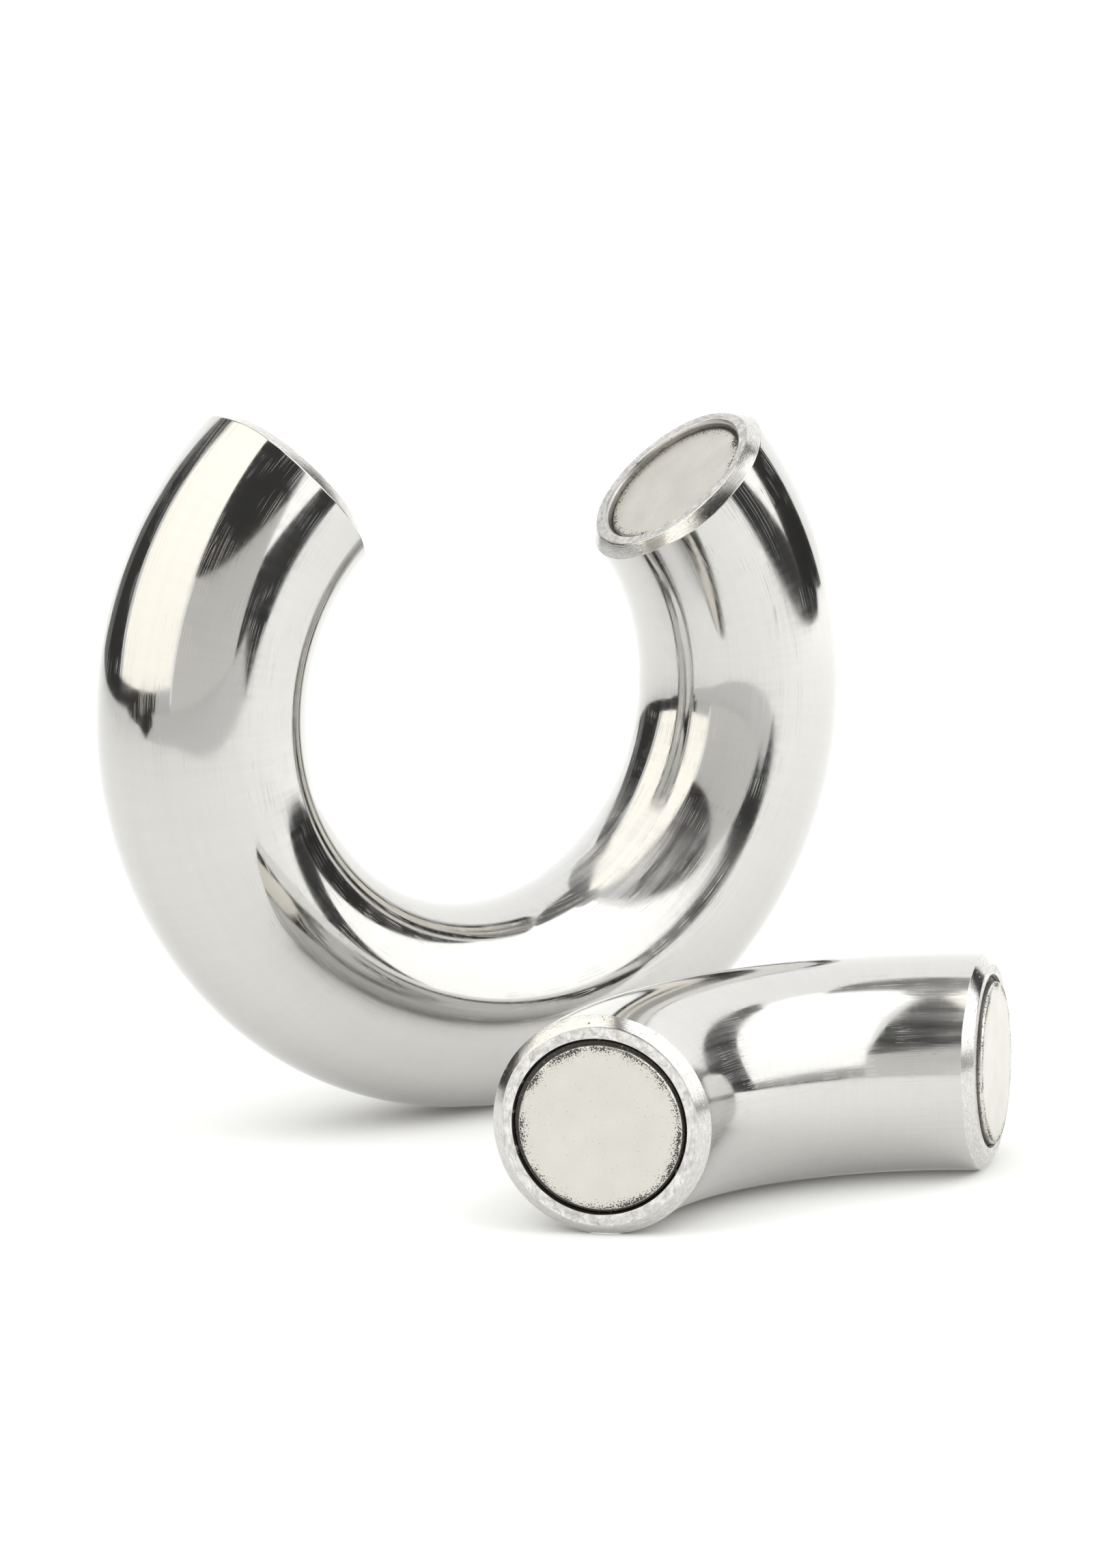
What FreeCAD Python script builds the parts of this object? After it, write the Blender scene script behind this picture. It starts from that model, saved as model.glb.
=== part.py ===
import FreeCAD, Part
import math
import os
import Sketcher

# A polished bar ring split into a 270 degree arc and a 90 degree closing arc, held together by
# four disc magnets. The large arc stands on its outer curve and the closing arc lies in front.
# Millimetres and degrees, +Z up. The origin is the middle of the footprint, on the ground.

os.makedirs("parts", exist_ok=True)
doc = FreeCAD.newDocument("split_ring")

DIMENSIONS = {
    "ring_radius": 30.0,        # ring centre to the middle of the bar
    "bar_radius": 10.0,
    "large_span": 270.0,
    "small_span": 90.0,
    "end_bevel": 1.0,
    "magnet_radius": 7.5,
    "magnet_thickness": 5.0,
    "magnet_edge": 0.25,
    "socket_radius": 7.8,
    "socket_mouth": 0.25,
    "bed_floor": 0.2,           # adhesive under a magnet
    "bed_drop": 0.35,           # adhesive rim below the lower of steel face and magnet face
    "magnet_sink": 0.65,        # large arc: magnet faces below the steel face
    "magnet_stand": 0.45,       # closing arc: magnet faces above the steel face
    "magnet_drift": 0.18,       # magnets sit slightly off the socket's middle
    "large_left_drift": 40.0,   # which way each magnet is off, from the outside of the bend
    "large_right_drift": 80.0,
    "closing_right_drift": -60.0,
    "closing_left_drift": 180.0,
    "seam_gap": 0.04,           # left between the steel faces when the ring is closed
    "lean_turn": 4.7,           # the standing arc's opening leans this far towards +X
    "stand_y": 24.8,            # ring centre of the standing arc
    "lying_y": -49.6,           # ring centre of the lying arc
}


def make_sheet():
    sheet = doc.addObject("Spreadsheet::Sheet", "sizes")
    for row, (alias, value) in enumerate(DIMENSIONS.items(), start=1):
        sheet.set(f"A{row}", alias)
        sheet.set(f"B{row}", str(value))
        sheet.setAlias(f"B{row}", alias)
    doc.recompute()
    return sheet


def size(alias):
    return float(sheet.get(alias))


def add_size(alias, value):
    row = len(DIMENSIONS) + len(derived) + 1
    derived.append(alias)
    sheet.set(f"A{row}", alias)
    sheet.set(f"B{row}", str(value))
    sheet.setAlias(f"B{row}", alias)
    doc.recompute()


def new_body(name):
    body = doc.addObject("PartDesign::Body", name)
    body.Label = name
    bodies.append(body)
    return body


def circle_sketch(body, name, role, radius, across=None):
    """A circle on an origin plane, its middle moved along the plane's first axis by a sheet size."""
    sketch = body.newObject("Sketcher::SketchObject", name)
    plane = next(item for item in body.Origin.OriginFeatures if item.Role == role)
    sketch.AttachmentSupport = [(plane, "")]
    sketch.MapMode = "FlatFace"
    middle = FreeCAD.Vector(size(across) if across else 0.0, 0.0, 0.0)
    sketch.addGeometry(Part.Circle(middle, FreeCAD.Vector(0, 0, 1), size(radius)), False)
    sketch.addConstraint(Sketcher.Constraint("Radius", 0, size(radius)))
    sketch.setExpression("Constraints[0]", f"sizes.{radius}")
    if across:
        sketch.addConstraint(Sketcher.Constraint("DistanceX", -1, 1, 0, 3, size(across)))
        sketch.setExpression("Constraints[1]", f"sizes.{across}")
        sketch.addConstraint(Sketcher.Constraint("PointOnObject", 0, 3, -1))
    else:
        sketch.addConstraint(Sketcher.Constraint("Coincident", 0, 3, -1, 1))
    return sketch


def pocket(body, name, sketch, depth):
    """A pocket of the sheet's depth, turned round if it would miss the solid."""
    doc.recompute()
    before = body.Shape.Volume
    cut = body.newObject("PartDesign::Pocket", name)
    cut.Profile = sketch
    cut.setExpression("Length", f"sizes.{depth}")
    doc.recompute()
    if before - body.Shape.Volume < 1.0:
        cut.Reversed = True
        doc.recompute()
    if before - body.Shape.Volume < 1.0:
        raise RuntimeError(f"{name} cuts nothing")
    return cut


def round_edges(shape, radius):
    """Names of the full circular edges of one radius."""
    found = []
    for number, edge in enumerate(shape.Edges, start=1):
        if isinstance(edge.Curve, Part.Circle) and edge.isClosed():
            if abs(edge.Curve.Radius - radius) < 1e-4:
                found.append(f"Edge{number}")
    return found


def chamfer(body, name, radius, amount, count, keep=None):
    doc.recompute()
    base = body.Tip
    names = round_edges(base.Shape, size(radius))
    if keep:
        names = [item for item in names if keep(base.Shape.getElement(item))]
    if len(names) != count:
        raise RuntimeError(f"{name} found {len(names)} edges")
    feature = body.newObject("PartDesign::Chamfer", name)
    feature.Base = (base, names)
    feature.setExpression("Size", f"sizes.{amount}")
    doc.recompute()
    return feature


def on_end_plane(edge):
    """True for an edge that lies in a plane through the ring's axis."""
    box = edge.BoundBox
    return min(box.XLength + abs(box.Center.x), box.YLength + abs(box.Center.y)) < 1e-4


def make_arc(name, span, depth):
    """A bent bar with flat ends, a bevel round each end and a blind magnet socket in each end.

    It runs from the XZ plane to the YZ plane about the Z axis, so both ends lie on origin planes.
    """
    body = new_body(name)
    section = circle_sketch(body, f"{name}_section", "XZ_Plane", "bar_radius", "ring_radius")
    bar = body.newObject("PartDesign::Revolution", f"{name}_bar")
    bar.Profile = section
    bar.ReferenceAxis = (section, ["V_Axis"])
    bar.setExpression("Angle", f"sizes.{span}")
    doc.recompute()
    middle = math.radians(size(span) / 2)
    middle_of_bar = FreeCAD.Vector(math.cos(middle), math.sin(middle), 0) * size("ring_radius")
    if not body.Shape.isInside(middle_of_bar, 1e-3, True):
        bar.Reversed = True
        doc.recompute()
    first = circle_sketch(body, f"{name}_first_socket", "XZ_Plane", "socket_radius", "ring_radius")
    pocket(body, f"{name}_first_bore", first, depth)
    reach = "ring_radius" if size(span) < 180 else "ring_radius_back"
    second = circle_sketch(body, f"{name}_second_socket", "YZ_Plane", "socket_radius", reach)
    pocket(body, f"{name}_second_bore", second, depth)
    chamfer(body, f"{name}_bevel", "bar_radius", "end_bevel", 2)
    chamfer(body, f"{name}_mouth", "socket_radius", "socket_mouth", 2, on_end_plane)
    return body


def make_magnet(name):
    """A plated disc magnet standing on its back face, its rims broken all round."""
    body = new_body(name)
    disc = body.newObject("PartDesign::Pad", f"{name}_disc")
    disc.Profile = circle_sketch(body, f"{name}_outline", "XY_Plane", "magnet_radius")
    disc.setExpression("Length", "sizes.magnet_thickness")
    chamfer(body, f"{name}_rims", "magnet_radius", "magnet_edge", 2)
    return body


def make_bed(name, height):
    """The adhesive under and around a magnet: a thin cup with its hollow slightly off the middle."""
    body = new_body(name)
    cup = body.newObject("PartDesign::Pad", f"{name}_cup")
    cup.Profile = circle_sketch(body, f"{name}_outline", "XY_Plane", "socket_radius")
    cup.setExpression("Length", f"sizes.{height}")
    doc.recompute()
    full = body.Shape.Volume
    hollow = body.newObject("PartDesign::Pocket", f"{name}_hollow")
    hollow.Profile = circle_sketch(body, f"{name}_seat", "XY_Plane", "magnet_radius", "magnet_drift")
    hollow.Profile[0].setExpression("AttachmentOffset.Base.z", "sizes.bed_floor")
    hollow.Type = "ThroughAll"
    hollow.Reversed = True
    doc.recompute()
    wanted = math.pi * size("magnet_radius") ** 2 * (size(height) - size("bed_floor"))
    if abs(full - body.Shape.Volume - wanted) > 0.01 * wanted:
        raise RuntimeError(f"{name} is not hollow")
    return body


def turn(axis, degrees):
    return FreeCAD.Placement(FreeCAD.Vector(0, 0, 0), FreeCAD.Rotation(axis, degrees))


def move(x, y, z):
    return FreeCAD.Placement(FreeCAD.Vector(x, y, z), FreeCAD.Rotation())


def end_placements(span):
    """Both end faces of an arc: Z points out of the bar at the middle of the face."""
    first = move(size("ring_radius"), 0, 0) * turn(X_AXIS, 90)
    second = turn(Z_AXIS, size(span)) * move(size("ring_radius"), 0, 0) * turn(X_AXIS, -90)
    return first, second


def fit_end(prefix, end, depth, height):
    """An adhesive bed and a magnet in one socket."""
    seat = end * turn(Z_AXIS, size(f"{prefix}_drift"))
    bed = make_bed(f"{prefix}_adhesive", height)
    bed.Placement = seat * move(0, 0, -size(depth))
    magnet = make_magnet(f"{prefix}_magnet")
    magnet.Placement = seat * move(size("magnet_drift"), 0, size("bed_floor") - size(depth))


def swing_offset():
    """X of the lying arc's ring centre that lets one plain turn carry it onto the standing arc.

    The turn's axis is fixed by where the arc starts and ends. This is the place along X where the
    move has no part left over along that axis.
    """
    lean = math.radians(size("lean_turn"))
    lift = size("seam_gap") / math.cos(math.radians(size("small_span") / 2))
    reach = size("stand_y") - size("lying_y") - size("ring_radius") - lift * math.cos(lean)
    return math.sin(lean) * (lift + reach / (1 + math.cos(lean)))


def check_document():
    for item in doc.Objects:
        if "Invalid" in item.State or "Error" in item.State:
            raise RuntimeError(f"{item.Name} failed: {item.State}")
    for body in bodies:
        shape = body.Shape
        if shape.isNull() or not shape.isValid() or len(shape.Solids) != 1:
            raise RuntimeError(f"{body.Label} is not one valid solid")


X_AXIS = FreeCAD.Vector(1, 0, 0)
Z_AXIS = FreeCAD.Vector(0, 0, 1)
bodies = []
derived = []
sheet = make_sheet()

seated = size("bed_floor") + size("magnet_thickness")
add_size("ring_radius_back", -size("ring_radius"))
add_size("large_depth", seated + size("magnet_sink"))
add_size("small_depth", seated - size("magnet_stand"))
add_size("large_bed", seated - size("bed_drop"))
add_size("small_bed", size("small_depth") - size("bed_drop"))
add_size("lying_x", swing_offset())

standing = move(0, size("stand_y"), size("ring_radius") + size("bar_radius"))
standing = standing * turn(X_AXIS, 90) * turn(Z_AXIS, size("large_span") / 2 - size("lean_turn"))
lying = move(size("lying_x"), size("lying_y"), size("bar_radius"))
lying = lying * turn(Z_AXIS, 90 - size("small_span") / 2)

make_arc("large_arc", "large_span", "large_depth").Placement = standing
make_arc("closing_arc", "small_span", "small_depth").Placement = lying

large_ends = [standing * end for end in end_placements("large_span")]
fit_end("large_left", large_ends[0], "large_depth", "large_bed")
fit_end("large_right", large_ends[1], "large_depth", "large_bed")
closing_ends = [lying * end for end in end_placements("small_span")]
fit_end("closing_right", closing_ends[0], "small_depth", "small_bed")
fit_end("closing_left", closing_ends[1], "small_depth", "small_bed")

doc.recompute()
check_document()
for body in bodies:
    body.Shape.exportStep(f"parts/{body.Label}.step")
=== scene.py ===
"""Magnetic split ring: a standing 270 degree arc and the quarter arc that closes it, mirror-polished.

Metres throughout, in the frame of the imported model.
"""
import math

import bpy
from mathutils import Matrix, Vector, noise


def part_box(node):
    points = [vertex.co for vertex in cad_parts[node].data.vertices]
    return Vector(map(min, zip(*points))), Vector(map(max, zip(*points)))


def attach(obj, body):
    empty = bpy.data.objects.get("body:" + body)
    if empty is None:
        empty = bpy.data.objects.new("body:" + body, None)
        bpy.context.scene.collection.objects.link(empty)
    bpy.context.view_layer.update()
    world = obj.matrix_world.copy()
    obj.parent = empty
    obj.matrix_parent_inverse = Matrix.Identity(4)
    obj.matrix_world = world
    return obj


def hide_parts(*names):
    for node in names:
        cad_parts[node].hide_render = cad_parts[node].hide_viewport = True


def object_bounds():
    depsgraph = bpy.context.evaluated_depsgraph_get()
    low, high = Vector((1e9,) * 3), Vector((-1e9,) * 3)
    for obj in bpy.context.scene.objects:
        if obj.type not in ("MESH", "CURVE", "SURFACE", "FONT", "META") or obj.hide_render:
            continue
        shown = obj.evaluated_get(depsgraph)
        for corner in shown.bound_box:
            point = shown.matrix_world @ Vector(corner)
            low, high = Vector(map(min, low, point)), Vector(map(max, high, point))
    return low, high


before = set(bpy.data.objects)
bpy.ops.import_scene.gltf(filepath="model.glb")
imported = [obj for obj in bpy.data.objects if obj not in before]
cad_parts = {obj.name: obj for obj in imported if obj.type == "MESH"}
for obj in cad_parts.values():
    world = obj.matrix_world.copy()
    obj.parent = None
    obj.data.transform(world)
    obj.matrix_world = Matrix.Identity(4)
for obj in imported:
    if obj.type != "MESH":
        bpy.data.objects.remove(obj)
cad_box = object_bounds()

MM = 0.001
RING_RADIUS = 30.0 * MM
BAR_RADIUS = 10.0 * MM
END_BEVEL = 1.0 * MM
RIM_RADIUS = BAR_RADIUS - END_BEVEL
MAGNET_RADIUS = 7.5 * MM
MAGNET_THICKNESS = 5.0 * MM
MAGNET_EDGE = 0.25 * MM
MAGNET_DRIFT = 0.18 * MM
SOCKET_RADIUS = 7.8 * MM
SOCKET_MOUTH = 0.25 * MM
BED_FLOOR = 0.2 * MM
BED_DROP = 0.35 * MM
SINK_STANDING = 0.65 * MM
SINK_LYING = -0.45 * MM
LEAN_TURN = math.radians(4.7)
QUARTER = math.pi / 2
TURN = 2 * math.pi

AROUND = 192                    # points round the bar and round every turned piece
ROWS_PER_QUARTER = 72           # rings along a quarter of the ring
LIP = 0.03 * MM                 # distance between the close rings that keep an edge crisp
BEVEL_SWELL = 0.015 * MM        # how far a bevel bulges above a straight cone
BEVEL_PARTS = (0.03, 0.08, 0.2, 0.4, 0.6, 0.8, 0.92, 0.98)
EPOXY_SLACK = 0.01 * MM         # keeps the epoxy off the steel and the plating
EPOXY_DIP = 0.08 * MM
DISC_STEP = 0.04 * MM
TUBE, BEVEL, FACE, BORE = 0, 1, 2, 3    # regions of a bar, in the order of its materials


class Arc:
    """A bent bar: its ring centre, two axes in the ring's plane, and the angles it spans."""

    def __init__(self, centre, first_axis, second_axis, start, span):
        self.centre = Vector(centre)
        self.first = Vector(first_axis)
        self.second = Vector(second_axis)
        self.normal = self.first.cross(self.second)
        self.start = start
        self.span = span

    def outward(self, angle):
        return self.first * math.cos(angle) + self.second * math.sin(angle)

    def along(self, angle):
        return self.second * math.cos(angle) - self.first * math.sin(angle)

    def spot(self, angle, turn, radius, forward=0.0):
        """A point round the bar's centre line, moved forward along the bar's direction."""
        across = self.outward(angle) * (RING_RADIUS + radius * math.cos(turn))
        sideways = self.normal * (radius * math.sin(turn))
        return self.centre + across + sideways + self.along(angle) * forward

    def end_frame(self, last):
        """Matrix of an end face: X away from the ring's centre, Z out of the bar."""
        angle = self.start + self.span if last else self.start
        x_axis = self.outward(angle)
        z_axis = self.along(angle) if last else -self.along(angle)
        y_axis = z_axis.cross(x_axis)
        matrix = Matrix((x_axis, y_axis, z_axis)).transposed().to_4x4()
        matrix.translation = self.centre + x_axis * RING_RADIUS
        return matrix


def standing_arc():
    low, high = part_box("large_arc")
    centre = (0.0, (low.y + high.y) / 2, RING_RADIUS + BAR_RADIUS)
    return Arc(centre, (1, 0, 0), (0, 0, 1), 1.5 * QUARTER - LEAN_TURN, 3 * QUARTER)


def lying_arc():
    low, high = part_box("closing_arc")
    centre = ((low.x + high.x) / 2, high.y - RING_RADIUS - BAR_RADIUS, BAR_RADIUS)
    return Arc(centre, (1, 0, 0), (0, 1, 0), 0.5 * QUARTER, QUARTER)


# ---------------------------------------------------------------- meshes


def wander(seed, turn, reach):
    """Smooth noise round a circle, about -1 to 1."""
    return noise.noise(Vector((math.cos(turn) * reach, math.sin(turn) * reach, seed * 3.7)))


def link(name, mesh, materials):
    piece = bpy.data.objects.new(name, mesh)
    bpy.context.scene.collection.objects.link(piece)
    for material in materials:
        mesh.materials.append(material)
    return piece


def turns(count):
    return [TURN * step / count for step in range(count)]


def skin(name, rows, regions):
    """A closed mesh over rings of (point, flat pair, unrolled point), capped at both ends."""
    count = len(rows[0])
    points = [entry[0] for row in rows for entry in row]
    faces = []
    pairs = []
    for index in range(len(rows) - 1):
        low = index * count
        for step in range(count):
            after = (step + 1) % count
            faces.append((low + step, low + count + step, low + count + after, low + after))
            left = rows[index][step][1]
            right = rows[index + 1][step][1]
            wide = TURN / count
            pairs += [left, right, (right[0] + wide, right[1]), (left[0] + wide, left[1])]
    first_cap = tuple(range(count))
    last_cap = tuple((len(rows) - 1) * count + step for step in reversed(range(count)))
    for cap in (first_cap, last_cap):
        faces.append(cap)
        pairs += [tuple(points[vertex].xy) for vertex in cap]
    mesh = bpy.data.meshes.new(name)
    mesh.from_pydata(points, [], faces)
    mesh.uv_layers.new(name="surface").data.foreach_set("uv", [v for pair in pairs for v in pair])
    area = [region for region in regions for _ in range(count)] + [regions[0], regions[-1]]
    mesh.polygons.foreach_set("material_index", area)
    mesh.polygons.foreach_set("use_smooth", [True] * len(faces))
    unrolled = mesh.attributes.new("unrolled", "FLOAT_VECTOR", "POINT")
    unrolled.data.foreach_set("vector", [v for row in rows for entry in row for v in entry[2]])
    mesh.update()
    return mesh


def rim_wander(turn, seed):
    """How far the hand-worked bevel's edge strays where it meets the flat face."""
    return 0.15 * MM * wander(seed, turn, 1.5) + 0.05 * MM * wander(seed + 9, turn, 5.0)


def face_rows(arc, last, depth, seed):
    """Rings from a socket's floor out over the flat face to the bevel, with each gap's region."""
    angle = arc.start + arc.span if last else arc.start
    outward = 1 if last else -1
    mouth = SOCKET_RADIUS + SOCKET_MOUTH
    profile = [
        (SOCKET_RADIUS, -depth, BORE),
        (SOCKET_RADIUS, -SOCKET_MOUTH - 2 * LIP, BORE),
        (SOCKET_RADIUS, -SOCKET_MOUTH - LIP, BORE),
        (SOCKET_RADIUS + LIP / 2, -SOCKET_MOUTH + LIP / 2, BORE),
        (mouth - LIP / 2, -LIP / 2, BEVEL),
        (mouth + LIP, 0.0, FACE),
        (mouth + 2 * LIP, 0.0, FACE),
        (RIM_RADIUS - 3 * LIP, 0.0, FACE),
        (RIM_RADIUS - 2 * LIP, 0.0, FACE),
    ]
    rows = []
    for radius, height, _ in profile:
        ring = []
        for turn in turns(AROUND):
            reach = radius
            if radius > mouth + 3 * LIP:
                reach = radius + rim_wander(turn, seed)
            point = arc.spot(angle, turn, reach, outward * height)
            place = arc_length(arc, angle) + outward * (height - radius)
            flat = (reach * math.cos(turn), reach * math.sin(turn), place)
            ring.append((point, (turn, reach / MM), flat))
        rows.append(ring)
    return rows, [entry[2] for entry in profile[:-1]]


def arc_length(arc, angle):
    return RING_RADIUS * (angle - arc.start)


def bevel_rows(arc, last, seed):
    """Rings from the flat face to the bar's own surface, over a slightly rounded bevel."""
    angle = arc.start + arc.span if last else arc.start
    outward = 1 if last else -1
    rows = []
    for part in BEVEL_PARTS:
        ring = []
        for turn in turns(AROUND):
            inner_radius = RIM_RADIUS + rim_wander(turn, seed)
            deep = bevel_depth(turn, seed)
            swell = BEVEL_SWELL * math.sin(math.pi * part)
            radius = inner_radius + (BAR_RADIUS - inner_radius) * part + swell
            radius = min(radius, BAR_RADIUS)
            height = -deep * part + swell
            forward = outward * height
            near_end = arc.spot(angle, turn, radius, forward)
            on_bar = arc.spot(angle + forward / (RING_RADIUS + radius * math.cos(turn)), turn, radius)
            point = near_end.lerp(on_bar, part)
            place = arc_length(arc, angle) + forward
            flat = (radius * math.cos(turn), radius * math.sin(turn), place)
            ring.append((point, (turn, (radius - height) / MM), flat))
        rows.append(ring)
    return rows


def bevel_depth(turn, seed):
    return END_BEVEL * (1.0 + 0.25 * wander(seed + 5, turn, 1.3) + 0.05 * wander(seed + 6, turn, 6.0))


def tube_rows(arc, seeds):
    """Rings along the bar between its two bevels."""
    count = round(ROWS_PER_QUARTER * arc.span / QUARTER)
    parts = [0.0, 0.0006] + [step / count for step in range(1, count)] + [0.9994, 1.0]
    rows = []
    for part in parts:
        ring = []
        for turn in turns(AROUND):
            distance = RING_RADIUS + BAR_RADIUS * math.cos(turn)
            low = arc.start + bevel_depth(turn, seeds[0]) / distance
            high = arc.start + arc.span - bevel_depth(turn, seeds[1]) / distance
            angle = low + (high - low) * part
            point = arc.spot(angle, turn, BAR_RADIUS)
            place = arc_length(arc, angle)
            flat = (BAR_RADIUS * math.cos(turn), BAR_RADIUS * math.sin(turn), place)
            ring.append((point, (turn, place / MM), flat))
        rows.append(ring)
    return rows


def steel_bar(name, arc, sink, seeds, materials):
    """One bent bar in one skin: socket, face and bevel at each end, and the tube between."""
    depth = BED_FLOOR + MAGNET_THICKNESS + sink
    first_face, inward = face_rows(arc, False, depth, seeds[0])
    last_face, _ = face_rows(arc, True, depth, seeds[1])
    first_bevel = bevel_rows(arc, False, seeds[0])
    last_bevel = bevel_rows(arc, True, seeds[1])
    middle = tube_rows(arc, seeds)
    rows = first_face + first_bevel + middle + last_bevel[::-1] + last_face[::-1]
    regions = inward + [BEVEL] * (len(first_bevel) + 1)
    regions += [TUBE] * (len(middle) - 1)
    regions += [BEVEL] * (len(last_bevel) + 1) + inward[::-1]
    return link(name, skin(name, rows, regions), materials)


def turned_piece(name, matrix, profile, count, materials, uneven):
    """A piece turned round the end face's axis. profile holds (radius, height, shift, wobble)."""
    rows = []
    for radius, height, shift, wobble in profile:
        ring = []
        for turn in turns(count):
            raised = height + wobble * uneven(turn)
            point = Vector((radius * math.cos(turn) + shift, radius * math.sin(turn), raised))
            ring.append((point, (turn, (radius + raised) / MM), point))
        rows.append(ring)
    piece = link(name, skin(name, rows, [0] * (len(rows) - 1)), materials)
    piece.matrix_world = matrix
    return piece


def even(turn):
    return 0.0


def magnet(name, matrix, sink, material):
    bottom = -sink - MAGNET_THICKNESS
    top = -sink
    outline = [
        (MAGNET_RADIUS - DISC_STEP, bottom),
        (MAGNET_RADIUS, bottom + DISC_STEP),
        (MAGNET_RADIUS, bottom + 2 * DISC_STEP),
        (MAGNET_RADIUS, top - MAGNET_EDGE - DISC_STEP),
        (MAGNET_RADIUS, top - MAGNET_EDGE),
        (MAGNET_RADIUS - 0.3 * MAGNET_EDGE, top - 0.3 * MAGNET_EDGE),
        (MAGNET_RADIUS - MAGNET_EDGE, top),
        (MAGNET_RADIUS - MAGNET_EDGE - DISC_STEP, top),
        (MAGNET_RADIUS / 2, top),
        (0.1 * MM, top),
    ]
    profile = [(radius, height, MAGNET_DRIFT, 0.0) for radius, height in outline]
    return turned_piece(name, matrix, profile, AROUND, [material], even)


def adhesive(name, matrix, sink, seed, material):
    """The cured ring between magnet and socket, with an uneven top, and the bed under the magnet."""
    floor = -sink - MAGNET_THICKNESS - BED_FLOOR
    top = min(0.0, -sink) - BED_DROP
    outer = SOCKET_RADIUS - EPOXY_SLACK
    inner = MAGNET_RADIUS + EPOXY_SLACK
    middle = (outer + inner) / 2
    profile = [
        (outer, floor + EPOXY_SLACK, 0.0, 0.0),
        (outer, top, 0.0, 1.0),
        (outer - EPOXY_SLACK, top, 0.0, 1.0),
        (middle, top - EPOXY_DIP, MAGNET_DRIFT / 2, 1.2),
        (inner + EPOXY_SLACK, top, MAGNET_DRIFT, 1.0),
        (inner, top, MAGNET_DRIFT, 1.0),
        (inner, floor + BED_FLOOR - EPOXY_SLACK, MAGNET_DRIFT, 0.0),
    ]

    def lumps(turn):
        return 0.1 * MM * wander(seed, turn, 4.0) + 0.05 * MM * wander(seed, turn, 15.0)

    return turned_piece(name, matrix, profile, AROUND, [material], lumps)


# ---------------------------------------------------------------- materials


class Graph:
    """A material's node tree and its surface shader, with short calls for the nodes used here."""

    def __init__(self, name, metallic):
        self.material = bpy.data.materials.new(name)
        self.material.use_nodes = True
        self.tree = self.material.node_tree
        self.surface = self.tree.nodes["Principled BSDF"]
        self.surface.inputs["Metallic"].default_value = metallic

    def feed(self, socket, value):
        if isinstance(value, bpy.types.NodeSocket):
            self.tree.links.new(value, socket)
        else:
            socket.default_value = value

    def finish(self, **sockets):
        """Feeds the surface shader's sockets, named with _ for a space, and gives the material."""
        for key, value in sockets.items():
            self.feed(self.surface.inputs[key.replace("_", " ")], value)
        return self.material

    def add(self, kind, output, inputs, **settings):
        node = self.tree.nodes.new("ShaderNode" + kind)
        for key, value in settings.items():
            setattr(node, key, value)
        for key, value in inputs.items():
            self.feed(node.inputs[key], value)
        return node.outputs[output]

    def math(self, operation, first, second=0.0):
        return self.add("Math", 0, {0: first, 1: second}, operation=operation)

    def split(self, vector):
        """The three parts of a vector."""
        node = self.tree.nodes.new("ShaderNodeSeparateXYZ")
        self.feed(node.inputs[0], vector)
        return node.outputs

    def distance(self, first, second):
        squares = [self.math("POWER", part, 2.0) for part in (first, second)]
        return self.math("SQRT", self.math("ADD", squares[0], squares[1]))

    def unrolled(self, turn=(0, 0, 0), stretch=(1, 1, 1)):
        """Millimetres outward, sideways and along the straightened bar, turned and stretched."""
        vector = self.add("Attribute", "Vector", {}, attribute_name="unrolled")
        inputs = {"Vector": vector, "Rotation": turn, "Scale": [part / MM for part in stretch]}
        return self.add("Mapping", 0, inputs)

    def noise(self, vector, scale, detail=2.0, roughness=0.5):
        inputs = {"Vector": vector, "Scale": scale, "Detail": detail, "Roughness": roughness}
        return self.add("TexNoise", "Fac", inputs)

    def range(self, value, low, high, to_low=0.0, to_high=1.0):
        inputs = {0: value, 1: low, 2: high, 3: to_low, 4: to_high}
        return self.add("MapRange", 0, inputs)

    def hairlines(self, vector, scale, width):
        """Thin contour lines of a stretched noise, 1 on a line and 0 away from it."""
        away = self.math("ABSOLUTE", self.math("SUBTRACT", self.noise(vector, scale, 0.0), 0.5))
        return self.range(away, 0.0, width, 1.0, 0.0)

    def mix(self, fraction, first, second):
        inputs = {0: fraction, 6: first, 7: second}
        return self.add("Mix", 2, inputs, data_type="RGBA")

    def bump(self, height, distance, normal=None):
        inputs = {"Height": height, "Distance": distance, "Strength": 1.0}
        if normal is not None:
            inputs["Normal"] = normal
        return self.add("Bump", 0, inputs)


STEEL_BRIGHT = (0.60, 0.595, 0.58, 1)
STEEL_DULL = (0.53, 0.525, 0.51, 1)
FILED_BRIGHT = (0.74, 0.73, 0.71, 1)
FILED_DULL = (0.44, 0.435, 0.42, 1)
NICK = (0.26, 0.255, 0.25, 1)
TURNED_BRIGHT = (0.76, 0.75, 0.735, 1)
TURNED_DULL = (0.54, 0.53, 0.515, 1)
TURNED_WEAR = (0.3, 0.29, 0.28, 1)
BORE_STEEL = (0.5, 0.49, 0.47, 1)
EPOXY_STAIN = (0.035, 0.03, 0.028, 1)
PLATING_PALE = (0.66, 0.645, 0.60, 1)
PLATING_DEEP = (0.60, 0.585, 0.54, 1)
EPOXY_DEEP = (0.012, 0.011, 0.010, 1)
EPOXY_PALE = (0.05, 0.045, 0.04, 1)
EPOXY_GRAIN = (0.3, 0.28, 0.25, 1)

# Where the inside of a bend was left brushed: from and to in mm along the bar, and how strongly.
WORN_STANDING = (90.0, 99.0, 1.1)
WORN_LYING = (-10.0, 60.0, 0.55)
WORN_FADE = 6.0

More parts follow.
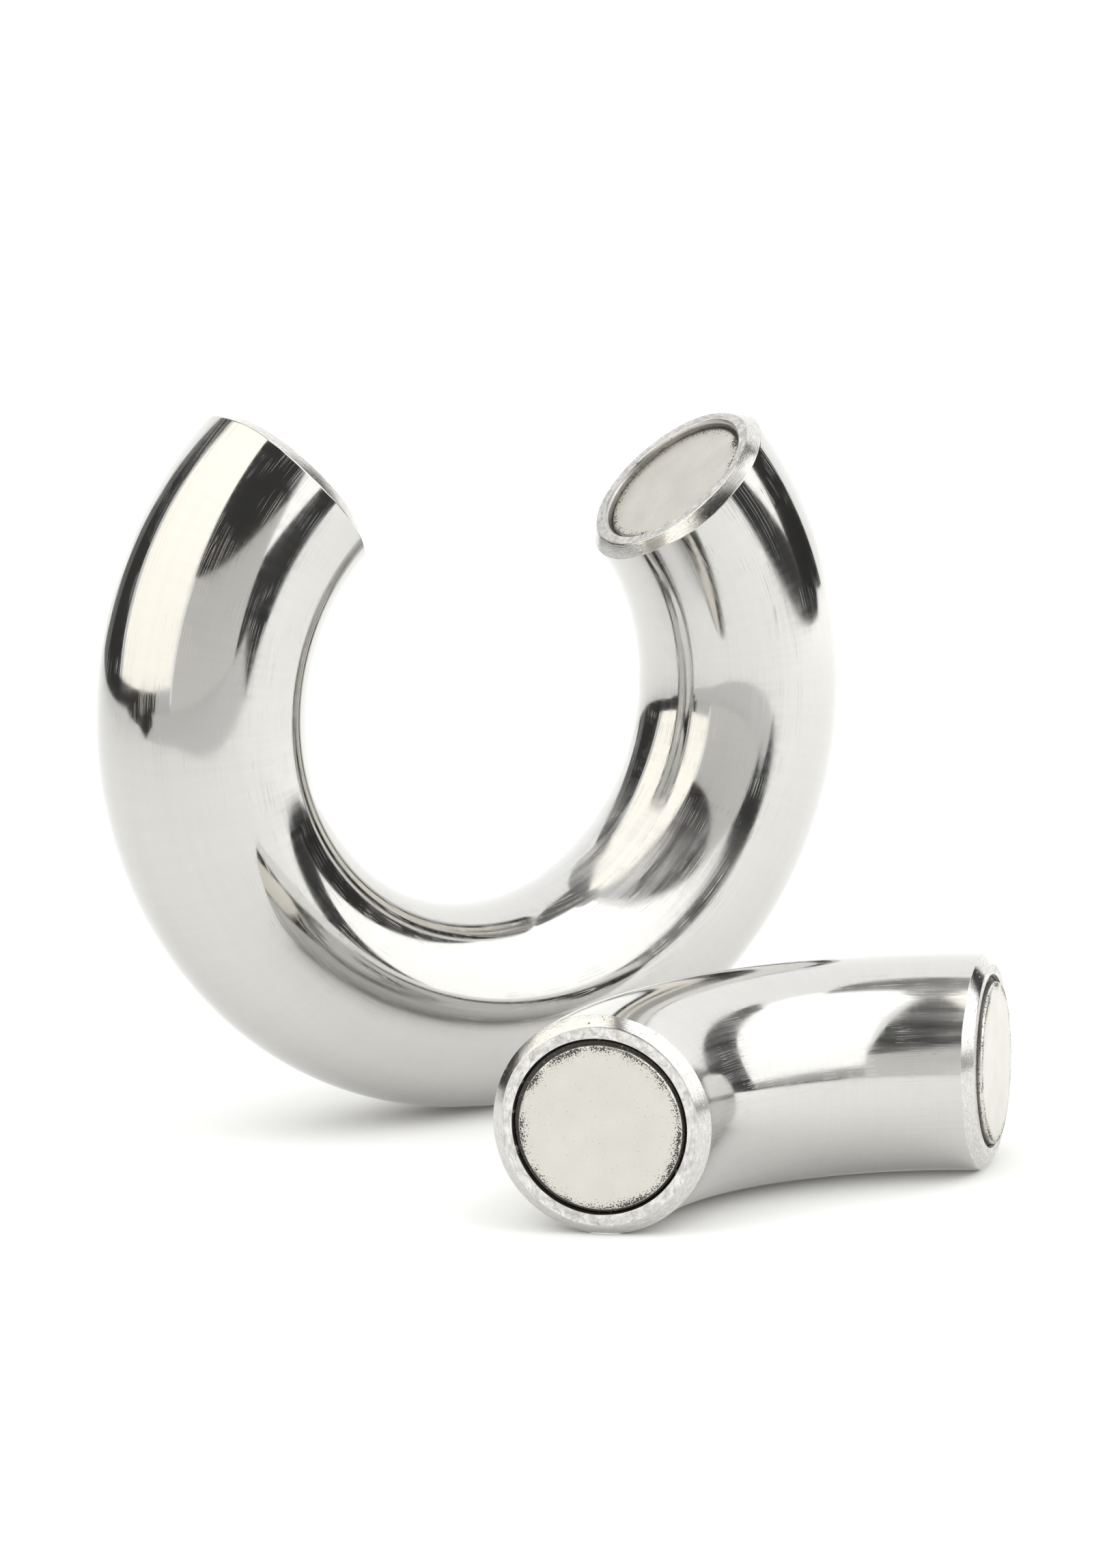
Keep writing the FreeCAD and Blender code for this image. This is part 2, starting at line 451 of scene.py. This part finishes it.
HAIRLINE_WIDTH = 0.006
HAIRLINE_STRETCH = (1, 1, 0.012)
HAIRLINES = [((0.5, 0.9, 0.2), 2.2), ((1.2, 0.3, 0.7), 1.8), ((0.1, 1.4, 1.9), 2.0)]

CLEAN_BORE = 0.6                # noise level from which a socket's wall is stained
STAINED_BORE = 0.22


def worn_inside(graph, worn):
    """How strongly the bar is brushed here: only on the inside of the bend, in one stretch."""
    start, end, amount = worn
    outward, _, along = graph.split(graph.unrolled())
    inside = graph.range(outward, 1.5, -6.0)
    begins = graph.range(along, start - WORN_FADE, start)
    ends = graph.range(along, end, end + WORN_FADE, 1.0, 0.0)
    clouds = graph.noise(graph.unrolled(stretch=(1, 1, 0.6)), 0.12, 2.0)
    uneven = graph.range(clouds, 0.35, 0.6, 0.4, 1.0)
    stretch = graph.math("MULTIPLY", begins, ends)
    dull = graph.math("MULTIPLY", graph.math("MULTIPLY", inside, uneven), stretch)
    return graph.math("MULTIPLY", dull, amount)


def scratches(graph):
    """Hairline scratches in three directions, in scattered patches."""
    first, second, third = [
        graph.hairlines(graph.unrolled(turn, HAIRLINE_STRETCH), scale, HAIRLINE_WIDTH)
        for turn, scale in HAIRLINES
    ]
    lines = graph.math("MAXIMUM", graph.math("MAXIMUM", first, second), third)
    patches = graph.range(graph.noise(graph.unrolled(), 0.35, 2.0), 0.45, 0.65)
    return graph.math("MULTIPLY", lines, patches)


def polished_steel(name, worn):
    """Mirror polish with faint waves, streaks along the bar and hairline scratches."""
    graph = Graph(name, 1.0)
    waves = graph.noise(graph.unrolled(), 0.09, 2.0)
    streaks = graph.noise(graph.unrolled(stretch=(1, 1, 0.05)), 1.1, 4.0, 0.6)
    rings = graph.noise(graph.unrolled(stretch=(0.12, 0.12, 1.6)), 1.0, 4.0, 0.6)
    haze = graph.range(graph.noise(graph.unrolled(), 0.16, 3.0), 0.4, 0.75)
    lines = scratches(graph)
    brushed = graph.math("ADD", graph.math("MULTIPLY", streaks, 0.5), graph.math("MULTIPLY", rings, 0.5))
    dull = worn_inside(graph, worn)
    grain = graph.range(streaks, 0.35, 0.65, 0.02, 0.17)
    rough = graph.range(brushed, 0.35, 0.7, 0.04, 0.11)
    rough = graph.math("ADD", rough, graph.math("MULTIPLY", haze, 0.05))
    rough = graph.math("ADD", rough, graph.math("MULTIPLY", lines, 0.2))
    rough = graph.math("ADD", rough, graph.math("MULTIPLY", dull, grain))
    scatter = graph.math("MULTIPLY", dull, graph.range(streaks, 0.35, 0.65, 0.08, 0.42))
    normal = graph.bump(waves, 0.008 * MM)
    normal = graph.bump(brushed, 0.0005 * MM, normal)
    normal = graph.bump(graph.math("MULTIPLY", streaks, dull), 0.0014 * MM, normal)
    normal = graph.bump(lines, -0.0022 * MM, normal)
    tone = graph.mix(brushed, STEEL_BRIGHT, STEEL_DULL)
    metallic = graph.math("SUBTRACT", 1.0, scatter)
    return graph.finish(Base_Color=tone, Metallic=metallic, Roughness=rough, Normal=normal)


def filed_steel():
    """The hand-worked bevels: short crossing scratches and small nicks."""
    graph = Graph("filed_steel", 1.0)
    round_lines = graph.noise(graph.unrolled(stretch=(0.6, 0.6, 9.0)), 2.2, 3.0, 0.6)
    slanted = graph.noise(graph.unrolled((0.6, 0.4, 0.3), (5.0, 5.0, 0.3)), 1.8, 3.0, 0.6)
    nicks = graph.range(graph.noise(graph.unrolled(stretch=(1, 1, 0.5)), 2.4, 3.0), 0.68, 0.76)
    cuts = graph.math("ADD", graph.math("MULTIPLY", round_lines, 0.6), graph.math("MULTIPLY", slanted, 0.4))
    normal = graph.bump(cuts, 0.014 * MM)
    normal = graph.bump(nicks, -0.015 * MM, normal)
    rough = graph.range(cuts, 0.35, 0.65, 0.1, 0.2)
    tone = graph.mix(graph.range(cuts, 0.35, 0.65), FILED_BRIGHT, FILED_DULL)
    return graph.finish(Base_Color=graph.mix(nicks, tone, NICK), Roughness=rough, Normal=normal)


def turned_steel():
    """The flat end faces: fine rings from the lathe, which spread light into radial fans."""
    graph = Graph("turned_steel", 1.0)
    across, upward, _ = graph.split(graph.add("Attribute", "Vector", {}, attribute_name="unrolled"))
    radius = graph.math("MULTIPLY", graph.distance(across, upward), 1 / MM)
    rings = {"W": radius, "Scale": 14.0, "Detail": 3.0}
    grooves = graph.add("TexNoise", "Fac", rings, noise_dimensions="1D")
    marks = graph.noise(graph.unrolled(), 1.3, 3.0)
    strokes = graph.hairlines(graph.unrolled((0.3, 0.2, 0.8), (1, 0.06, 1)), 1.6, 0.05)
    pits = graph.range(graph.noise(graph.unrolled(), 4.5, 2.0), 0.7, 0.78)
    wear = graph.math("MAXIMUM", graph.math("MULTIPLY", strokes, 0.55), pits)
    normal = graph.bump(grooves, 0.01 * MM)
    normal = graph.bump(marks, 0.006 * MM, normal)
    tone = graph.mix(graph.range(marks, 0.35, 0.65), TURNED_BRIGHT, TURNED_DULL)
    tone = graph.mix(wear, tone, TURNED_WEAR)
    rough = graph.range(marks, 0.3, 0.7, 0.24, 0.36)
    tangent = graph.add("Tangent", 0, {}, direction_type="UV_MAP", uv_map="surface")
    graph.surface.inputs["Anisotropic"].default_value = 0.7
    return graph.finish(Base_Color=tone, Roughness=rough, Normal=normal, Tangent=tangent)


def bored_steel(name, stain_from):
    """The sockets' walls: dull machined steel with cured adhesive on it."""
    graph = Graph(name, 1.0)
    rings = graph.noise(graph.unrolled(stretch=(0.3, 0.3, 6.0)), 2.0, 3.0)
    stain = graph.range(graph.noise(graph.unrolled(), 1.1, 4.0), stain_from, stain_from + 0.15)
    tone = graph.mix(stain, BORE_STEEL, EPOXY_STAIN)
    rough = graph.range(rings, 0.3, 0.7, 0.3, 0.5)
    return graph.finish(Base_Color=tone, Roughness=rough, Normal=graph.bump(rings, 0.02 * MM))


def rim_specks(graph, place):
    """Dots of adhesive that crowd towards a magnet's rim."""
    across, upward, _ = graph.split(place)
    radius = graph.distance(graph.math("SUBTRACT", across, MAGNET_DRIFT / MM), upward)
    dusty = graph.range(graph.noise(place, 0.4, 2.0), 0.35, 0.65, 0.35, 1.0)
    edge = graph.range(radius, 5.7, 7.25, 0.0, 1.0)
    crowd = graph.math("MULTIPLY", graph.math("POWER", edge, 2.5), graph.math("MULTIPLY", dusty, 0.31))
    inside = graph.range(radius, 7.35, 7.45, 1.0, 0.6)
    dots = graph.math("ADD", graph.noise(place, 7.0, 2.0, 0.6), graph.math("MULTIPLY", crowd, inside))
    return graph.range(dots, 0.70, 0.75)


def nickel_plating():
    """Pale warm plating, a little uneven, with dark specks of adhesive round the rim."""
    graph = Graph("nickel_plating", 1.0)
    place = graph.unrolled()
    specks = rim_specks(graph, place)
    clouds = graph.noise(place, 0.35, 3.0)
    clean = graph.mix(clouds, PLATING_PALE, PLATING_DEEP)
    rough = graph.math("ADD", graph.range(clouds, 0.3, 0.7, 0.3, 0.38), graph.math("MULTIPLY", specks, 0.3))
    normal = graph.bump(graph.noise(place, 1.2, 3.0), 0.01 * MM)
    normal = graph.bump(specks, 0.03 * MM, normal)
    tone = graph.mix(specks, clean, EPOXY_STAIN)
    metallic = graph.math("SUBTRACT", 1.0, specks)
    return graph.finish(Base_Color=tone, Metallic=metallic, Roughness=rough, Normal=normal)


def cured_adhesive():
    """Nearly black epoxy with lumps and a few pale grains."""
    graph = Graph("cured_adhesive", 0.0)
    place = graph.unrolled()
    lumps = graph.noise(place, 2.2, 4.0)
    grains = graph.range(graph.noise(place, 5.0, 2.0), 0.66, 0.7)
    tone = graph.mix(grains, graph.mix(lumps, EPOXY_DEEP, EPOXY_PALE), EPOXY_GRAIN)
    rough = graph.range(lumps, 0.3, 0.7, 0.35, 0.6)
    return graph.finish(Base_Color=tone, Roughness=rough, Normal=graph.bump(lumps, 0.15 * MM))


# ---------------------------------------------------------------- assembly

# Each end: its pieces' prefix, whether it is the arc's last end, and in degrees from the outside
# of the bend the way its magnet sits off the socket's middle.
STANDING_ENDS = [("large_left", False, 40), ("large_right", True, 80)]
LYING_ENDS = [("closing_right", False, -60), ("closing_left", True, 180)]
STANDING_SEEDS = (1, 2)
LYING_SEEDS = (3, 4)


def declare(piece, body, node):
    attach(piece, body)
    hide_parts(node)


def seat_matrix(arc, last, drift_turn):
    """An end face's frame turned so that its X is the way the magnet drifted."""
    return arc.end_frame(last) @ Matrix.Rotation(math.radians(drift_turn), 4, "Z")


def build_bar(arc, body, node, sink, seeds, steels):
    bar = steel_bar(node + "_polished", arc, sink, seeds, steels)
    declare(bar, body, node)
    return bar


def build_end(arc, body, end, sink, seed, plating, epoxy):
    prefix, last, drift_turn = end
    seat = seat_matrix(arc, last, drift_turn)
    disc = magnet(prefix + "_plated_magnet", seat, sink, plating)
    declare(disc, body, prefix + "_magnet")
    ring = adhesive(prefix + "_epoxy_ring", seat, sink, seed, epoxy)
    declare(ring, body, prefix + "_adhesive")
    return [disc, ring]


def build_object():
    """Makes every piece and gives the standing arc's pieces and the lying arc's pieces."""
    worked = [filed_steel(), turned_steel()]
    standing_steels = [polished_steel("standing_polish", WORN_STANDING)] + worked
    standing_steels.append(bored_steel("clean_bore", CLEAN_BORE))
    lying_steels = [polished_steel("lying_polish", WORN_LYING)] + worked
    lying_steels.append(bored_steel("stained_bore", STAINED_BORE))
    plating = nickel_plating()
    epoxy = cured_adhesive()
    arc = standing_arc()
    standing = [build_bar(arc, "large", "large_arc", SINK_STANDING, STANDING_SEEDS, standing_steels)]
    for end, seed in zip(STANDING_ENDS, STANDING_SEEDS):
        standing += build_end(arc, "large", end, SINK_STANDING, seed, plating, epoxy)
    arc = lying_arc()
    lying = [build_bar(arc, "closing", "closing_arc", SINK_LYING, LYING_SEEDS, lying_steels)]
    for end, seed in zip(LYING_ENDS, LYING_SEEDS):
        lying += build_end(arc, "closing", end, SINK_LYING, seed, plating, epoxy)
    return standing, lying


# ---------------------------------------------------------------- camera

VIEW_AZIMUTH = math.radians(-30.36)
VIEW_ELEVATION = math.radians(9.94)
VIEW_ROLL = math.radians(-1.935)
VIEW_DISTANCE = 0.5694
LENS = 142.8
CLIP_START = 0.01
AIM_BESIDE = Vector((-0.01116, -0.00841, 0.03734))      # from the middle of the footprint
UPWARD = Vector((0, 0, 1))
TO_CAMERA = Vector((math.sin(VIEW_AZIMUTH), -math.cos(VIEW_AZIMUTH), 0))
TO_RIGHT = Vector((math.cos(VIEW_AZIMUTH), math.sin(VIEW_AZIMUTH), 0))


def build_camera():
    middle = (cad_box[0] + cad_box[1]) / 2
    aim = Vector((middle.x, middle.y, 0)) + AIM_BESIDE
    back = TO_CAMERA * math.cos(VIEW_ELEVATION) + UPWARD * math.sin(VIEW_ELEVATION)
    right = UPWARD.cross(back).normalized()
    up = back.cross(right)
    tilted_right = right * math.cos(VIEW_ROLL) + up * math.sin(VIEW_ROLL)
    tilted_up = up * math.cos(VIEW_ROLL) - right * math.sin(VIEW_ROLL)
    matrix = Matrix((tilted_right, tilted_up, back)).transposed().to_4x4()
    matrix.translation = aim + back * VIEW_DISTANCE
    data = bpy.data.cameras.new("camera")
    data.lens = LENS
    data.clip_start = CLIP_START
    camera = bpy.data.objects.new("camera", data)
    camera.matrix_world = matrix
    bpy.context.scene.collection.objects.link(camera)
    bpy.context.scene.camera = camera


# ---------------------------------------------------------------- studio

STUDIO_RADIUS = 1.6
LAYER_STEP = 0.02               # share of the radius between one layer of cards and the next
CARD_COLUMNS = 24
CARD_ROWS = 16
NEUTRAL = (1, 0.995, 0.98, 1)
CREAM = (1, 0.965, 0.89, 1)
WARM_GREY = (1, 0.985, 0.95, 1)
FRONT_TOP = [((-31, 58), (21, 56)), ((-28, 84), (14, 82))]
RIGHT_FOOT = [((30, 0), (96, 0)), ((30, 11), (96, 4))]

FLOOR_REACH = 8.0
FLOOR_TONE = 0.80
SWEEP_LIFT = 0.0001             # the floor that only reflections see lies just above the seen one
# Tones and glow of the floor that only reflections see: a ramp of painted shade along X and a faint painted
# light, over the seen floor's one even tone.
SWEEP_PAINTED_SHADE_TONES = (0.47, 0.86)
SWEEP_PAINTED_GLOW = 0.2
SWEEP_REACH = 0.5
SURROUND_LIFT = 0.0004
DARK_TONE = 0.03
GREY_TONES = (0.46, 0.54)

SOFTBOX_SIZE = 1.4
WORLD_TINT = (1, 1, 0.99, 1)
WORLD_GLOW = 1.36


def studio_direction(azimuth, elevation):
    """Unit vector, with azimuth counted in degrees from the camera towards its right."""
    angle, rise = math.radians(azimuth), math.radians(elevation)
    level = TO_CAMERA * math.cos(angle) + TO_RIGHT * math.sin(angle)
    return level * math.cos(rise) + UPWARD * math.sin(rise)


def glow_material(name, low, high, tint, clear):
    """Grey light that changes evenly from a card's lower edge to its upper edge."""
    graph = Graph(name, 0.0)
    graph.tree.nodes.remove(graph.surface)
    _, upward, _ = graph.split(graph.add("UVMap", 0, {}, uv_map="surface"))
    strength = graph.range(upward, 0.0, 1.0, low, high)
    glow = graph.add("Emission", 0, {"Color": tint, "Strength": strength})
    if clear:
        see_through = graph.add("BsdfTransparent", 0, {})
        glow = graph.add("AddShader", 0, {0: glow, 1: see_through})
    graph.feed(graph.tree.nodes["Material Output"].inputs["Surface"], glow)
    return graph.material


def hide_outside_reflections(sheet):
    sheet.visible_camera = False
    sheet.visible_diffuse = False
    sheet.visible_shadow = False
    sheet.visible_transmission = False


def quad_grid(name, corner_place, columns, rows, material):
    """A sheet over a unit square, each grid point placed by corner_place(across, upward)."""
    points = []
    faces = []
    pairs = []
    for row in range(rows + 1):
        for column in range(columns + 1):
            points.append(corner_place(column / columns, row / rows))
    for row in range(rows):
        for column in range(columns):
            low = row * (columns + 1) + column
            faces.append((low, low + 1, low + columns + 2, low + columns + 1))
            left, right = column / columns, (column + 1) / columns
            down, up = row / rows, (row + 1) / rows
            pairs += [(left, down), (right, down), (right, up), (left, up)]
    mesh = bpy.data.meshes.new(name)
    mesh.from_pydata(points, [], faces)
    mesh.uv_layers.new(name="surface").data.foreach_set("uv", [v for pair in pairs for v in pair])
    return link(name, mesh, [material])


def panel(name, lower, upper, low_glow, high_glow, layer=0, tint=NEUTRAL, clear=False):
    """A curved card on the studio's dome, seen only in reflections.

    lower and upper are its edges: (azimuth, elevation) at their left and right ends.
    """
    radius = STUDIO_RADIUS * (1.0 - LAYER_STEP * layer)

    def place(across, upward):
        left = Vector(lower[0]).lerp(Vector(upper[0]), upward)
        right = Vector(lower[1]).lerp(Vector(upper[1]), upward)
        return studio_direction(*left.lerp(right, across)) * radius

    glow = glow_material(name, low_glow, high_glow, tint, clear)
    card = quad_grid(name, place, CARD_COLUMNS, CARD_ROWS, glow)
    hide_outside_reflections(card)
    return card


def light_only(card, pieces):
    """Lets a card light some of the pieces; the others see it black."""
    lit = bpy.data.collections.new(card.name + "_lights")
    for piece in pieces:
        lit.objects.link(piece)
    card.light_linking.receiver_collection = lit


def build_panels(standing_pieces, lying_pieces):
    panel("left_box", ((-97, 4.5), (-35, 4.5)), ((-134, 84), (-30, 84)), 1.68, 2.0, tint=CREAM)
    panel("left_box_edge", ((-100, 4.5), (-97, 4.5)), ((-121, 48), (-119, 48)), 0.75, 0.8)
    panel("left_dark_foot", ((-108, 0), (-50, 0)), ((-108, 4.5), (-50, 4.5)), 0.06, 0.07, 1)
    panel("left_foot", ((-50, 0), (-34, 0)), ((-50, 5), (-34, 5)), 0.7, 0.85, 1)
    panel("left_black", ((-130, 0), (-99, 0)), ((-134, 46), (-121, 46)), 0.05, 0.07, 2)
    panel("left_charcoal", ((-144, 0), (-126, 0)), ((-139, 57), (-122, 57)), 0.2, 0.18, 1)
    panel("left_shoulder", ((-150, 40), (-130, 44)), ((-165, 84), (-128, 84)), 0.5, 0.3)
    panel("front_grey", ((-33, -0.5), (31, -0.5)), ((-30, 29), (28, 27)), 0.9, 0.78, tint=WARM_GREY)
    panel("front_black", ((-31.5, 28), (29, 21)), ((-32, 61), (21, 58)), 0.05, 0.06, 2)
    panel("right_box", ((30, 8), (96, 3)), ((26, 84), (138, 84)), 1.75, 2.2)
    panel("right_black", ((93, 0), (131, 0)), ((119, 54), (130, 54)), 0.04, 0.07, 2)
    panel("back_upper", ((122, 68), (234, 68)), ((122, 90), (234, 90)), 0.2, 0.3, 1)
    panel("top_box", ((-128, 82), (124, 82)), ((-128, 90), (124, 90)), 0.9, 0.25)
    light_only(panel("front_upper", *FRONT_TOP, 0.5, 0.95, 1), standing_pieces)
    light_only(panel("front_veil", *FRONT_TOP, 0.08, 0.14, 3, clear=True), lying_pieces)
    light_only(panel("right_foot", *RIGHT_FOOT, 0.5, 0.68, 1), lying_pieces)
    light_only(panel("right_foot_veil", *RIGHT_FOOT, 0.06, 0.07, 3, clear=True), standing_pieces)


def floor_material(name, tones, reach=1.0):
    """Plain matt grey, changing evenly in tone from -reach to +reach along X."""
    graph = Graph(name, 0.0)
    graph.surface.inputs["Roughness"].default_value = 0.9
    graph.surface.inputs["Specular IOR Level"].default_value = 0.0
    sideways, _, _ = graph.split(graph.add("TexCoord", "Object", {}))
    share = graph.range(sideways, -reach, reach)
    low, high = [(tone, tone, tone * 0.99, 1) for tone in tones]
    return graph.finish(Base_Color=graph.mix(share, low, high))


def floor_sheet(name, outline, height, material):
    mesh = bpy.data.meshes.new(name)
    mesh.from_pydata([(x, y, height) for x, y in outline], [], [tuple(range(len(outline)))])
    sheet = link(name, mesh, [material])
    return sheet


def build_floor():
    """The plain floor that is seen, and the sheets that stand in for it in reflections."""
    wide = FLOOR_REACH
    square = [(-wide, -wide), (wide, -wide), (wide, wide), (-wide, wide)]
    seen = floor_sheet("floor", square, 0.0, floor_material("floor", (FLOOR_TONE, FLOOR_TONE)))
    seen.visible_glossy = False
    # Painted shade and painted light: this floor is darker towards -X and glows a little, where the seen
    # floor is one even tone.
    sweep_painted_light = floor_material("sweep_painted_light", SWEEP_PAINTED_SHADE_TONES, SWEEP_REACH)
    surface = sweep_painted_light.node_tree.nodes["Principled BSDF"]
    surface.inputs["Emission Color"].default_value = NEUTRAL
    surface.inputs["Emission Strength"].default_value = SWEEP_PAINTED_GLOW
    hide_outside_reflections(floor_sheet("floor_in_reflections", square, SWEEP_LIFT, sweep_painted_light))
    dark = floor_material("dark_surround", (DARK_TONE, DARK_TONE))
    grey = floor_material("grey_surround", GREY_TONES, SWEEP_REACH)
    left = [(-0.37, 0.025), (-0.65, -0.07), (-3.0, -0.27), (-3.0, 1.8), (-0.8, 0.32), (-0.56, 0.1)]
    right = [(0.075, -0.305), (0.3, -3.0), (3.0, -3.0), (3.0, 0.02), (0.84, -0.07), (0.652, -0.09),
             (0.466, -0.185), (0.3, -0.3), (0.2, -0.3), (0.13, -0.31)]
    front = [(-0.37, 0.025), (-0.26, -0.12), (-0.15, -0.16), (-0.02, -0.26), (0.075, -0.305), (0.3, -3.0),
             (-3.0, -3.0), (-3.0, -0.27), (-0.65, -0.07)]
    surrounds = [("left", left, dark), ("right", right, dark), ("front", front, grey)]
    for side, outline, material in surrounds:
        name = side + "_surround"
        hide_outside_reflections(floor_sheet(name, outline, SURROUND_LIFT, material))


def soft_light(name, azimuth, elevation, power):
    data = bpy.data.lights.new(name, "AREA")
    data.shape = "SQUARE"
    data.size = SOFTBOX_SIZE
    data.energy = power
    lamp = bpy.data.objects.new(name, data)
    away = studio_direction(azimuth, elevation)
    lamp.location = away * STUDIO_RADIUS
    lamp.rotation_euler = away.to_track_quat("Z", "Y").to_euler()
    lamp.visible_glossy = False
    lamp.visible_camera = False
    bpy.context.scene.collection.objects.link(lamp)


def build_light():
    world = bpy.data.worlds.new("studio")
    world.use_nodes = True
    background = world.node_tree.nodes["Background"]
    background.inputs["Color"].default_value = WORLD_TINT
    background.inputs["Strength"].default_value = WORLD_GLOW
    bpy.context.scene.world = world
    soft_light("left_softbox", -65, 45, 7)
    soft_light("right_softbox", 70, 45, 9)
    bpy.context.scene.view_settings.view_transform = "Standard"


standing_pieces, lying_pieces = build_object()
build_camera()
build_panels(standing_pieces, lying_pieces)
build_floor()
build_light()
